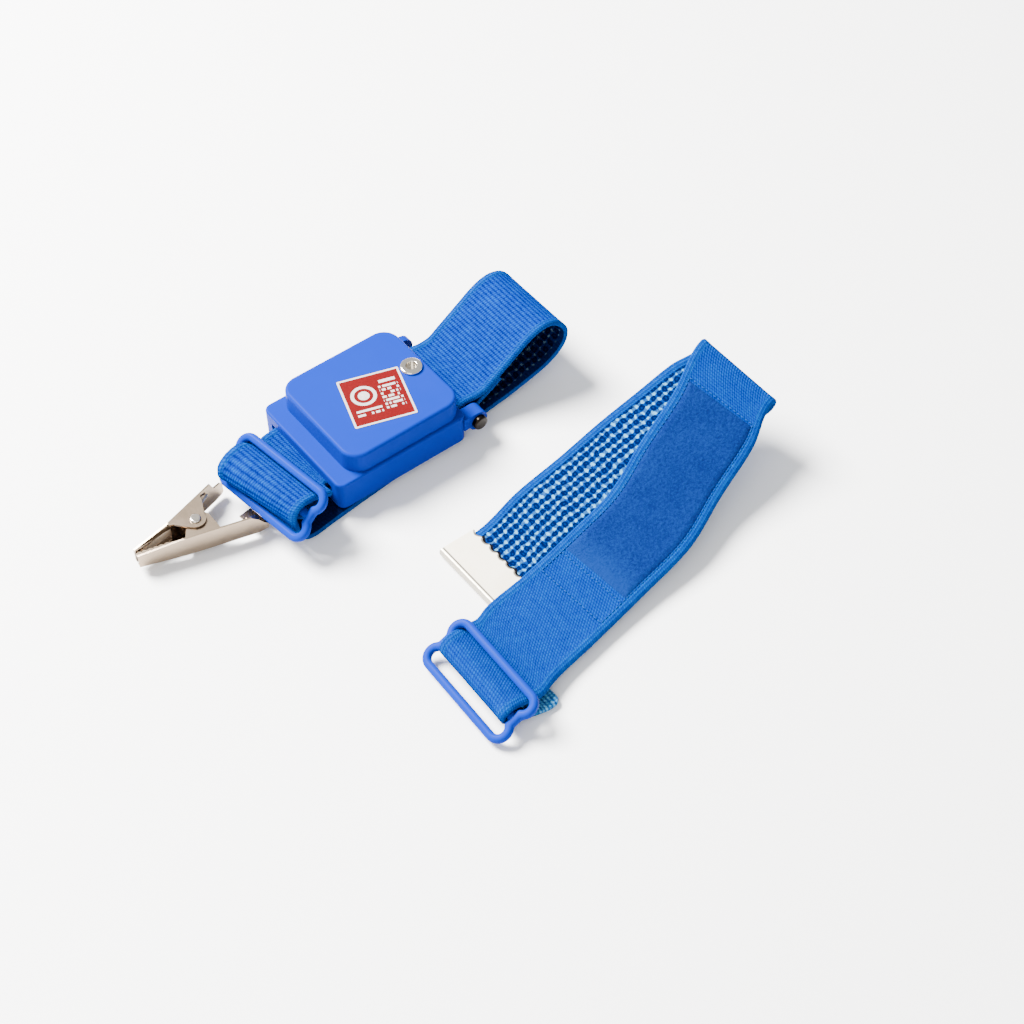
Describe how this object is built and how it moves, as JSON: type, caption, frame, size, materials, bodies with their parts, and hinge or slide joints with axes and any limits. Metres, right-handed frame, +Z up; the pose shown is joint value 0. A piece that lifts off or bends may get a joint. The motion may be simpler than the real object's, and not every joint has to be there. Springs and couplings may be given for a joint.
{
  "type": "anti-static wrist strap",
  "caption": "Elastic anti-static wrist strap with a resistor module, strap adjuster and crocodile clip, beside a spare elastic band with an adjuster and a crimped end plate.",
  "frame": {"origin": "on the table, under the centre of the resistor module, where the wristband's lower run lies", "axes": "+X from the crocodile clip towards the wrist loop, +Y away from the spare band, +Z up from the table"},
  "size_m": [0.1515, 0.115, 0.0241],
  "materials": {
    "shell": "satin moulded",
    "screws": "zinc plated",
    "label": "printed, laminated",
    "eyelet": "polished nickel",
    "brass": "plain",
    "board": "solder mask",
    "resistor": "coated",
    "skin_plate": "stainless",
    "spring_steel": "plain",
    "steel_pin": "plain",
    "rear_pin": "black oxide head",
    "wrist_band": "elastic webbing",
    "anchor_strap": "elastic webbing",
    "slider": "satin moulded",
    "clip": "satin nickel",
    "clip_rivet": "bright nickel",
    "spare_band": "elastic webbing",
    "loop_patch": "napped loop",
    "end_plate": "bright, crimped"
  },
  "bodies": {
    "module": {"top_shell": "shell", "bottom_cover": "shell", "cover_screws": "screws", "label": "label", "eyelet": "eyelet", "eyelet_contact": "brass", "circuit_board": "board", "board_screws": "screws", "resistor": "resistor", "skin_plate": "skin_plate", "contact_spring": "spring_steel", "front_bar": "steel_pin", "rear_pin": "rear_pin", "wrist_band": "wrist_band", "anchor_strap": "anchor_strap", "clip_fixed_jaw": "clip", "clip_rivet": "clip_rivet", "clip_spring": "spring_steel", "clip_bracket": "clip", "bracket_rivets": "clip_rivet", "tab_rivet": "clip_rivet"},
    "clip_jaw": {"clip_moving_jaw": "clip", "clip_spring_leg": "spring_steel"},
    "front_adjuster": {"front_slider": "slider"},
    "spare_strap": {"spare_band": "spare_band", "spare_loop_patch": "loop_patch", "spare_end_plate": "end_plate"},
    "spare_adjuster": {"spare_slider": "slider"}
  },
  "joints": [
    {"name": "clip_jaw_hinge", "type": "hinge", "parent": "module", "child": "clip_jaw", "pos_m": [-0.0525, -0.0012, 0.0042], "axis": [0, 0, -1], "range_deg": [0, 18], "stiffness_Nm_per_rad": 0.06, "springref_deg": -51.57},
    {"name": "front_adjuster_tilt", "type": "hinge", "parent": "module", "child": "front_adjuster", "pos_m": [-0.033, -0.00715, 0.0115], "axis": [0.1349, -0.9909, 0], "range_deg": [-4, 4]},
    {"name": "spare_strap_lift", "type": "slide", "parent": "module", "child": "spare_strap", "axis": [0, 0, 1], "range_m": [0, 0.06]},
    {"name": "spare_adjuster_tilt", "type": "hinge", "parent": "spare_strap", "child": "spare_adjuster", "pos_m": [-0.025, -0.0813, 0.0046], "axis": [-0.0297, -0.9996, 0], "range_deg": [-4, 5]}
  ]
}
